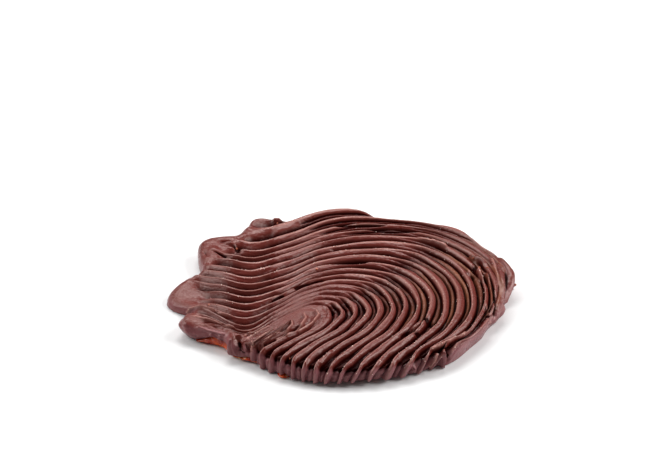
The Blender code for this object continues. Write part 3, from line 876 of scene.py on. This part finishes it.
def facts_of(plan, share, stroke, gate, raised, sunk, rims):
    """Attributes of the sheet's vertices, by name."""
    # folds and the wall are marked less deeply
    strength = comb_strength(plan, stroke, gate) * (1.0 - ease(raised / 0.9))
    strength *= 1.0 - 0.35 * ease((share - 0.3) / 0.5)
    turn = ease((-18.5 - plan[:, 0]) / 2.5) * ease((4.0 - gate) / 0.5)
    foot = ease((share - 0.3) / 0.3) * (1.0 - 0.5 * ease((stroke - 7.0) / 2.5))
    return {
        "stroke": stroke,
        "strength": strength,
        # painted shade in the holes and splits
        "sunk": ease(sunk),
        # painted highlight on the thin rims
        "rim": 1.3 * rims,
        # less painted shade on open steps and at the foot of the wall
        "open": 0.1 * turn + 0.6 * foot,
        # painted sheen on the wall and the right bulge
        "painted_sheen": painted_sheen_of(plan, share, stroke),
        # painted light on the low bands at the right
        "lit_band": lit_band_of(stroke, gate) * (1.0 - ease(sunk)),
        # where each of the comb's profiles begins to hold
        "side": ease((gate - 5.4) / 0.9),
        "front": ease((gate - 7.7) / 0.8),
        "wall": ease((gate - 8.9) / 0.9),
        "turn": turn,
    }


print("film on stroke 13 at gate 7:", round(float(lit_band_of(13.6, 7.0)), 2))

# %% [markdown]
# ## The sheet
# The sheet starts as Blender's own grid.  One side of it runs across the strokes and the
# other along them, so each vertex knows its stroke and its gate.  Subdividing a plane
# evenly would miss the sharp edges, so the columns stand where the profile turns.

# %% The sheet
ALONG = 264
ACROSS = len(PLACES[:-1]) * STROKES


def grid_of_strokes():
    """A grid's mesh, with the stroke and the gate of each vertex."""
    grid = bmesh.new()
    bmesh.ops.create_grid(grid, x_segments=ACROSS, y_segments=ALONG, size=1.0)
    mesh = bpy.data.meshes.new("coat_sheet")
    grid.to_mesh(mesh)
    grid.free()
    flat = np.empty(len(mesh.vertices) * 3)
    mesh.vertices.foreach_get("co", flat)
    flat = flat.reshape(-1, 3)
    column = np.rint((flat[:, 0] + 1.0) / 2.0 * ACROSS).astype(int)
    places = np.array(PLACES[:-1])
    stroke = column // len(places) + places[column % len(places)] + CREST_PLACE
    stroke = np.where(column == 0, 0.0, np.minimum(stroke, STROKES))
    return mesh, stroke, (flat[:, 1] + 1.0) / 2.0 * LAST_GATE


def make_sheet():
    mesh, stroke, gate = grid_of_strokes()
    # no tooth runs quite true
    waver = 0.05 * np.sin(1.9 * gate + 5.1 * stroke) + 0.04 * np.sin(4.3 * gate - 3.7 * stroke)
    plan = comb_plan(stroke + waver * ease(stroke) * ease((19.0 - stroke) / 2.0), gate)
    points, normals, share = drape(plan)
    raised, sunk, rims = lift_of_folds(plan)
    sunk = np.maximum(sunk, depth_of_splits(stroke, gate))
    points += normals * (raised - sunk)[:, None]
    points[:, :2] -= MIDDLE
    mesh.vertices.foreach_set("co", (points * MM).ravel())
    for name, values in facts_of(plan, share, stroke, gate, raised, sunk, rims).items():
        store(mesh, name, "FLOAT", values)
    # place in the drawn-out coat: about one unit per pitch across, slow along the stroke
    store(mesh, "drawn", "FLOAT_VECTOR",
          np.stack([stroke, gate * 2.0, np.zeros(len(gate))], axis=1))
    store(mesh, "facing", "FLOAT_VECTOR", normals)
    return add_object("coat_sheet", mesh)


sheet = make_sheet()
print("sheet:", len(sheet.data.vertices), "vertices")

# %% [markdown]
# ## Closing the coat underneath
# The coat is a shell: at the lip it turns in to the biscuit, rises beside it and covers it
# with a ceiling.  Solidify would double every rope inside, where nobody looks.  The open
# border is extruded twice instead, and one face closes the rest.  Stroke 0 folds back on
# itself along a seam, where the two sides are merged first.

# %% Closing the coat underneath
BISCUIT_HALF_WIDTH = 44.0
BISCUIT_HALF_DEPTH = 39.5
BISCUIT_LOBES = ((178, -7.0, 26), (229, 1.6, 12))
BISCUIT_GAP = 0.3
CEILING = 3.3       # underside of the coat above the table
SEAM_GAP = 0.002    # vertices of the seam that lie this close are one


def biscuit_radius(bearing):
    angle = np.radians(bearing)
    ripple = 0.25 * (np.sin(7.0 * angle) + 0.8 * np.sin(13.0 * angle + 1.0))
    return ripple + lobed_oval(bearing, BISCUIT_HALF_WIDTH, BISCUIT_HALF_DEPTH, BISCUIT_LOBES)


def close_underneath(mesh):
    """Merge the seam, then close the coat with a lip, a hollow for the biscuit and a ceiling."""
    work = bmesh.new()
    work.from_mesh(mesh)
    # the strokes count outwards, so the grid came out with its faces downwards
    bmesh.ops.reverse_faces(work, faces=work.faces)
    bmesh.ops.remove_doubles(work, verts=work.verts, dist=SEAM_GAP * MM)
    edges = [edge for edge in work.edges if edge.is_boundary]
    for height in (None, CEILING * MM):
        grown = bmesh.ops.extrude_edge_only(work, edges=edges)["geom"]
        edges = [item for item in grown if isinstance(item, bmesh.types.BMEdge)]
        for vert in [item for item in grown if isinstance(item, bmesh.types.BMVert)]:
            x, y = vert.co.x / MM + MIDDLE[0], vert.co.y / MM + MIDDLE[1]
            bearing = float(bearing_of(x, y))
            radius = float(biscuit_radius(bearing)) + BISCUIT_GAP
            vert.co.x = (radius * math.cos(math.radians(bearing)) - MIDDLE[0]) * MM
            vert.co.y = (radius * math.sin(math.radians(bearing)) - MIDDLE[1]) * MM
            if height is not None:
                vert.co.z = height
    ceiling = bmesh.ops.contextual_create(work, geom=edges)["faces"][0]
    ceiling.normal_update()
    if ceiling.normal.z > 0.0:
        ceiling.normal_flip()
    for face in work.faces:
        face.smooth = True
    work.to_mesh(mesh)
    work.free()


coat_mesh = apply_tree(sheet, comb_marks, COMB_SIZES)
bpy.data.objects.remove(sheet)
close_underneath(coat_mesh)
coat_mesh.name = "combed_coat"
coat = add_object("combed_coat", coat_mesh)
# the tree alone needed these; the chocolate reads the rest
for name in ("facing", *NUMBERS[1:]):
    coat_mesh.attributes.remove(coat_mesh.attributes[name])
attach(coat, "root")
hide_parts("chocolate_coat")
print("coat:", len(coat_mesh.polygons), "faces")

# %% [markdown]
# ## Caramel and almonds
# Under the coat lies the biscuit: chopped almonds set in caramel.  Baked caramel is a
# clear sugar glass, deep red where it is thick and orange where it is thin, with a glossy,
# blistered skin.  A glass shader with volume would be true to it but slow and noisy in such
# a thin strip.  So the Principled shader gets a low roughness, an IOR near that of sugar, a
# little light under the skin, and pale almonds in the middle of a Voronoi pattern's cells.


# %% Caramel and almonds
def make_caramel():
    material, tree, shader = new_material("almond_caramel")
    place = add_node(tree, "ShaderNodeTexCoord").outputs["Object"]
    depth = add_node(tree, "ShaderNodeTexNoise", Vector=place, Scale=1.0 / (3 * MM),
                     Detail=2.0).outputs["Fac"]
    depth = add_node(tree, "ShaderNodeMapRange", Value=depth, n1=0.35, n2=0.65).outputs[0]
    tint = add_node(tree, "ShaderNodeMix", {"data_type": "RGBA"}, n0=depth,
                    n6=linear("#9C2416"), n7=linear("#DC6232")).outputs[2]
    # chopped almonds lie just under the caramel's skin
    chips = add_node(tree, "ShaderNodeTexVoronoi", Vector=place, Scale=1.0 / (2.5 * MM))
    almond = add_node(tree, "ShaderNodeMapRange", Value=chips.outputs["Distance"], n1=0.3,
                      n2=0.2).outputs[0]
    tint = add_node(tree, "ShaderNodeMix", {"data_type": "RGBA"}, n0=almond, n6=tint,
                    n7=linear("#EBB684")).outputs[2]
    tree.links.new(tint, shader.inputs["Base Color"])
    # the sticky skin is blistered, and every blister gives a small glint
    blisters = add_node(tree, "ShaderNodeTexNoise", Vector=place, Scale=1.0 / (0.9 * MM),
                        Detail=2.0).outputs["Fac"]
    relief = add_node(tree, "ShaderNodeBump", Height=blisters, Strength=0.8,
                      Distance=0.5 * MM).outputs[0]
    tree.links.new(relief, shader.inputs["Normal"])
    shader.inputs["Roughness"].default_value = 0.18
    shader.inputs["IOR"].default_value = 1.48
    shader.inputs["Subsurface Weight"].default_value = 0.3
    shader.inputs["Subsurface Radius"].default_value = (1.0, 0.4, 0.2)
    shader.inputs["Subsurface Scale"].default_value = 1.0 * MM
    return material


caramel = make_caramel()
print("made", caramel.name)

# %% [markdown]
# ## The biscuit's skin
# The biscuit is a flat layer that follows the coat's lobes a little.  Where the lip lifts,
# the caramel oozed out to the wall, and there it shows.  Going up a grid's columns, the
# skin runs from the middle of the underside round the edge to the middle of the top.

# %% The biscuit's skin
BISCUIT_HEIGHT = 3.0
ROUND = 300             # columns of the grid, one for each step round the cookie
COAT_WALL = 0.2         # the ooze stops this far inside the coat's outline
UNDER_LIP = 0.05        # and this far below its lip
THINNEST_EDGE = 0.15
POLE_GAP = 0.001        # vertices of the poles and the seam are one
OOZE = ((221, 1.8, 12), (249, 1.0, 4))
# share of the radius, and share of the way from the table up to the lip
UNDERSIDE = ((0.0, 0.0), (0.2, 0.0), (0.4, 0.0), (0.6, 0.0), (0.75, 0.0), (0.87, 0.0),
             (0.96, 0.0), (0.99, 0.05), (1.005, 0.3), (1.01, 0.6), (1.0, 0.85), (0.99, 1.0))
# the same from the lip up to the biscuit's flat top, inside the coat
TOP_SIDE = ((1.0, 0.0), (1.0, 0.35), (1.0, 0.7), (0.97, 1.0), (0.7, 1.0), (0.35, 1.0),
            (0.0, 1.0))
RINGS = len(UNDERSIDE) + len(TOP_SIDE)


def ooze_radius(bearing):
    """The caramel reached the coat's wall where the biscuit shows."""
    edge = biscuit_radius(bearing)
    reach = np.maximum(rim_radius(bearing) - COAT_WALL - edge, 0.0)
    return edge + reach * ease(with_bumps(0.0, bearing, OOZE))


def make_biscuit():
    grid = bmesh.new()
    bmesh.ops.create_grid(grid, x_segments=ROUND, y_segments=RINGS - 1, size=1.0)
    for vert in grid.verts:
        bearing = float((vert.co.x + 1.0) * 180.0)
        angle = math.radians(bearing)
        lip = max(float(lip_height(bearing)) - UNDER_LIP, THINNEST_EDGE)
        ring = round((vert.co.y + 1.0) / 2.0 * (RINGS - 1))
        if ring < len(UNDERSIDE):
            radius = UNDERSIDE[ring][0] * float(ooze_radius(bearing))
            height = UNDERSIDE[ring][1] * lip
        else:
            share, rise = TOP_SIDE[ring - len(UNDERSIDE)]
            radius = share * float(biscuit_radius(bearing))
            height = lip + rise * (BISCUIT_HEIGHT - lip)
        vert.co = ((radius * math.cos(angle) - MIDDLE[0]) * MM,
                   (radius * math.sin(angle) - MIDDLE[1]) * MM, height * MM)
    bmesh.ops.remove_doubles(grid, verts=grid.verts, dist=POLE_GAP * MM)
    for face in grid.faces:
        face.smooth = True
    mesh = bpy.data.meshes.new("biscuit_skin")
    grid.to_mesh(mesh)
    grid.free()
    return add_object("biscuit_skin", mesh)


skin = make_biscuit()
print("skin:", len(skin.data.vertices), "vertices")

# %% [markdown]
# ## Almonds under the skin
# Chopped almonds lift the caramel in flat lumps, and it sinks between them.  A texture
# could fake that with a bump, but the edge of the strip would stay straight.  Geometry
# Nodes move the skin itself.  The lumps only go inwards, so the base stays on the table.

# %% Almonds under the skin
NUT_SIZES = {"Lump Height": 0.5 * MM, "Lump Size": 2.2 * MM}
LUMP_TOP = 0.8      # the noise stays below this value


def nut_tree():
    tree, enter, leave = new_geometry_tree("nut_lumps", NUT_SIZES)
    place = add_node(tree, "GeometryNodeInputPosition").outputs[0]
    scale = add_node(tree, "ShaderNodeMath", {"operation": "DIVIDE"}, 1.0,
                     enter.outputs["Lump Size"]).outputs[0]
    lumps = add_node(tree, "ShaderNodeTexNoise", Vector=place, Scale=scale,
                     Detail=3.0).outputs["Fac"]
    press = add_node(tree, "ShaderNodeMath", {"operation": "SUBTRACT"}, lumps,
                     LUMP_TOP).outputs[0]
    press = add_node(tree, "ShaderNodeMath", {"operation": "MULTIPLY"}, press,
                     enter.outputs["Lump Height"]).outputs[0]
    normal = add_node(tree, "GeometryNodeInputNormal").outputs[0]
    offset = add_node(tree, "ShaderNodeVectorMath", {"operation": "SCALE"}, n0=normal,
                      Scale=press).outputs[0]
    moved = add_node(tree, "GeometryNodeSetPosition", Geometry=enter.outputs["Mesh"],
                     Offset=offset).outputs[0]
    realized = add_node(tree, "GeometryNodeRealizeInstances", Geometry=moved).outputs[0]
    painted = add_node(tree, "GeometryNodeSetMaterial", Geometry=realized,
                       Material=caramel).outputs[0]
    tree.links.new(painted, leave.inputs["Mesh"])
    return tree


biscuit_mesh = apply_tree(skin, nut_tree(), NUT_SIZES)
bpy.data.objects.remove(skin)
biscuit = add_object("nut_biscuit_skin", biscuit_mesh)
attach(biscuit, "root")
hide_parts("nut_biscuit")
print("biscuit:", len(biscuit_mesh.polygons), "faces")

# %% [markdown]
# ## Crumbs and splinters
# Sticky caramel crumbs landed on the soft coat, and the comb broke fine splinters off its
# own crests.  They could be particles, but those are hard to hand on.  Geometry Nodes put
# one small lump on each point instead and turn all of them into a plain mesh.  The caramel
# crumbs sit at chosen spots, the splinters are scattered where the "edge" attribute is high.
# The splinters' pale colour is a painted highlight: they stand for small glints on the crests.

# %% Lumps on points
SCATTER = {"Density": 0.5 / MM ** 2, "Seed": 4}     # splinters on a square metre of crest
PATCH_SIZE = 14         # they come in patches of about this size
SHARP = 0.7             # value of "edge" from which a crest breaks


def lumps_tree(name, material, small, large, subdivisions, scatter):
    """One lump on each vertex, or on points scattered along the crests."""
    tree, enter, leave = new_geometry_tree(name, SCATTER)
    if scatter:
        edge = add_node(tree, "GeometryNodeInputNamedAttribute", {"data_type": "FLOAT"},
                        Name="edge").outputs["Attribute"]
        sharp = add_node(tree, "ShaderNodeMath", {"operation": "GREATER_THAN"}, edge,
                         SHARP).outputs[0]
        place = add_node(tree, "GeometryNodeInputPosition").outputs[0]
        patch = add_node(tree, "ShaderNodeTexNoise", Vector=place,
                         Scale=1.0 / (PATCH_SIZE * MM), Detail=1.0).outputs["Fac"]
        patch = add_node(tree, "ShaderNodeMath", {"operation": "GREATER_THAN"}, patch,
                         0.5).outputs[0]
        crest = add_node(tree, "ShaderNodeMath", {"operation": "MULTIPLY"}, sharp,
                         patch).outputs[0]
        points = add_node(tree, "GeometryNodeDistributePointsOnFaces",
                          Mesh=enter.outputs["Mesh"], Selection=crest,
                          Density=enter.outputs["Density"], Seed=enter.outputs["Seed"]).outputs[0]
    else:
        points = add_node(tree, "GeometryNodeMeshToPoints", Mesh=enter.outputs["Mesh"]).outputs[0]
    lump = add_node(tree, "GeometryNodeMeshIcoSphere", Radius=1.0,
                    Subdivisions=subdivisions).outputs[0]
    size = add_node(tree, "FunctionNodeRandomValue", {"data_type": "FLOAT"},
                    n2=small * MM, n3=large * MM, Seed=enter.outputs["Seed"]).outputs[1]
    turn = add_node(tree, "FunctionNodeRandomValue", {"data_type": "FLOAT_VECTOR"},
                    n1=(6.0, 6.0, 6.0), Seed=enter.outputs["Seed"]).outputs[0]
    placed = add_node(tree, "GeometryNodeInstanceOnPoints", Points=points, Instance=lump,
                      Rotation=turn, Scale=size).outputs[0]
    realized = add_node(tree, "GeometryNodeRealizeInstances", Geometry=placed).outputs[0]
    # every lump is knobbly in its own way
    place = add_node(tree, "GeometryNodeInputPosition").outputs[0]
    knob = add_node(tree, "ShaderNodeTexNoise", Vector=place, Scale=0.7 / (large * MM),
                    Detail=1.0).outputs["Color"]
    knob = add_node(tree, "ShaderNodeVectorMath", {"operation": "SUBTRACT"}, n0=knob,
                    n1=(0.5, 0.5, 0.5)).outputs[0]
    knob = add_node(tree, "ShaderNodeVectorMath", {"operation": "SCALE"}, n0=knob,
                    Scale=1.4 * large * MM).outputs[0]
    moved = add_node(tree, "GeometryNodeSetPosition", Geometry=realized, Offset=knob).outputs[0]
    painted = add_node(tree, "GeometryNodeSetMaterial", Geometry=moved,
                       Material=material).outputs[0]
    tree.links.new(painted, leave.inputs["Mesh"])
    return tree


def make_crumb_material(name, colour, roughness):
    material, _, shader = new_material(name)
    shader.inputs["Base Color"].default_value = linear(colour)
    shader.inputs["Roughness"].default_value = roughness
    return material


# burnt sugar, and a pale painted highlight for the splinters, standing for glints on the crests
sugar = make_crumb_material("caramel_crumb", "#B45C3C", 0.35)
splinter_glint = make_crumb_material("pale_splinter_glint", "#EBCABB", 0.4)
print("made", sugar.name, "and", splinter_glint.name)

# %% [markdown]
# ## Caramel crumbs
# A crumb should rest on the chocolate, neither in the air nor below it.  Its height could
# be worked out again from the drape and the comb.  A ray cast straight down on the finished
# coat finds it for any shape.

# %% Caramel crumbs
CRUMB_SPOTS = ((-33.4, 6.2), (-32.9, 6.9), (-7.0, 7.5), (-30.1, 21.9), (-30.8, 22.6),
               (-29.6, 20.9), (-19.0, 37.6), (-18.2, 37.2), (50.2, 2.4), (38.6, 13.4),
               (40.2, 9.6), (42.4, 8.0), (-15.8, -39.2), (-14.2, -40.2), (-37.5, -10.5))
CRUMB_SIZES = (0.22, 0.42)  # smallest and largest radius
RAY_START = 20              # well above the cookie


def spots_on_coat(spots):
    """A mesh of single vertices that lie on the coat below the given places."""
    mesh = bpy.data.meshes.new("spots")
    found = []
    for x, y in spots:
        start = ((x - MIDDLE[0]) * MM, (y - MIDDLE[1]) * MM, RAY_START * MM)
        hit, place, _, _ = coat.ray_cast(start, (0.0, 0.0, -1.0))
        if hit:
            found.append(place)
    mesh.from_pydata(found, [], [])
    return add_object("spots", mesh)


spots = spots_on_coat(CRUMB_SPOTS)
crumb_tree = lumps_tree("caramel_crumbs", sugar, *CRUMB_SIZES, 2, False)
crumb_mesh = apply_tree(spots, crumb_tree, SCATTER)
bpy.data.objects.remove(spots)
crumbs = add_object("caramel_crumbs", crumb_mesh)
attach(crumbs, "root")
print("crumbs:", len(crumb_mesh.polygons), "faces")

# %% [markdown]
# ## Chocolate splinters
# Splinters are far too many to place by hand.  A second object on the coat's mesh carries
# the tree for a moment, so no splinter can miss the crests and the coat stays as it is.

# %% Chocolate splinters
SPLINTER_SIZES = (0.09, 0.19)

crests = add_object("crests", coat_mesh)
splinter_tree = lumps_tree("chocolate_splinters", splinter_glint, *SPLINTER_SIZES, 1, True)
splinter_mesh = apply_tree(crests, splinter_tree, SCATTER)
bpy.data.objects.remove(crests)
splinters = add_object("chocolate_splinters", splinter_mesh)
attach(splinters, "root")
print("splinters:", len(splinter_mesh.polygons), "faces")

# %% [markdown]
# ## Floor
# The cookie lies on a plain white surface that runs on beyond every edge of the view.  One
# large square does for that.  Its paint is a very light grey, because pure white would burn
# out under the lights, and dull like that of a painted board, so that it mirrors nothing.

# %% Floor
FLOOR_HALF = 3.0    # metres
floor_mesh = bpy.data.meshes.new("floor")
floor_grid = bmesh.new()
bmesh.ops.create_grid(floor_grid, x_segments=1, y_segments=1, size=FLOOR_HALF)
floor_grid.to_mesh(floor_mesh)
floor_grid.free()
floor = add_object("floor", floor_mesh)
floor_material, _, floor_shader = new_material("white_table")
floor_shader.inputs["Base Color"].default_value = linear("#E6E6E6")
floor_shader.inputs["Roughness"].default_value = 0.6
floor_mesh.materials.append(floor_material)
print("floor:", 2.0 * FLOOR_HALF, "m wide")

# %% [markdown]
# ## Lights
# Dark chocolate shows its shape by what it mirrors.  Small lamps would leave hard sparks on
# the ridges.  Broad soft boxes stand left, right and behind instead, so the ridges catch
# long pale highlights while their near sides stay dark.  A faint white world fills in.

# %% Lights
# name, bearing and elevation in degrees, distance, width and height in metres, watts
SOFTBOXES = (
    ("back_softbox", 95, 50, 1.1, 0.8, 0.35, 8.8),
    ("left_softbox", 165, 38, 0.9, 0.6, 0.5, 6),
    ("right_softbox", 12, 34, 0.9, 0.6, 0.5, 9),
)
WORLD_STRENGTH = 0.12

for name, bearing, elevation, distance, width, height, power in SOFTBOXES:
    light = bpy.data.lights.new(name, "AREA")
    light.shape = "RECTANGLE"
    light.size = width
    light.size_y = height
    light.energy = power
    softbox = bpy.data.objects.new(name, light)
    bpy.context.scene.collection.objects.link(softbox)
    across = math.cos(math.radians(elevation)) * distance
    softbox.location = (across * math.cos(math.radians(bearing)),
                        across * math.sin(math.radians(bearing)),
                        math.sin(math.radians(elevation)) * distance)
    softbox.rotation_euler = (math.radians(90 - elevation), 0.0, math.radians(bearing + 90))
world = bpy.data.worlds.new("studio")
bpy.context.scene.world = world
world.use_nodes = True
background = world.node_tree.nodes["Background"]
background.inputs["Color"].default_value = linear("#FFFFFF")
background.inputs["Strength"].default_value = WORLD_STRENGTH
print(len(SOFTBOXES), "soft boxes")

# %% [markdown]
# ## Camera
# A close camera would swell the front of so flat a thing.  A long lens 72 cm away keeps its
# true outline and looks down at 30 degrees.  The cookie lies a little below and to the
# right of the middle of the view, so the camera is turned and moved by two small angles.

# %% Camera
ELEVATION = math.radians(30)
DISTANCE = 0.72     # metres
LENS = 138.4        # millimetres, as the sensor
SENSOR = 36.0
BELOW = 0.03001     # tangent of the angle from the view's axis down to the cookie
ASIDE = 0.006403    # and to its side
camera_data = bpy.data.cameras.new("camera")
camera = bpy.data.objects.new("camera", camera_data)
bpy.context.scene.collection.objects.link(camera)
camera_data.sensor_width = SENSOR
camera_data.lens = LENS
camera_data.clip_start = 0.05
pitch = ELEVATION - math.atan(BELOW)
height = math.sin(ELEVATION) * DISTANCE
back = math.cos(ELEVATION) * DISTANCE
depth = back * math.cos(pitch) + height * math.sin(pitch)
camera.location = (-ASIDE * depth - MIDDLE[0] * MM, -back - MIDDLE[1] * MM, height)
camera.rotation_euler = (math.pi / 2 - pitch, 0.0, 0.0)
bpy.context.scene.camera = camera
bpy.context.scene.view_settings.view_transform = "Standard"
print("camera looks down at", round(90 - math.degrees(camera.rotation_euler.x), 1), "degrees")
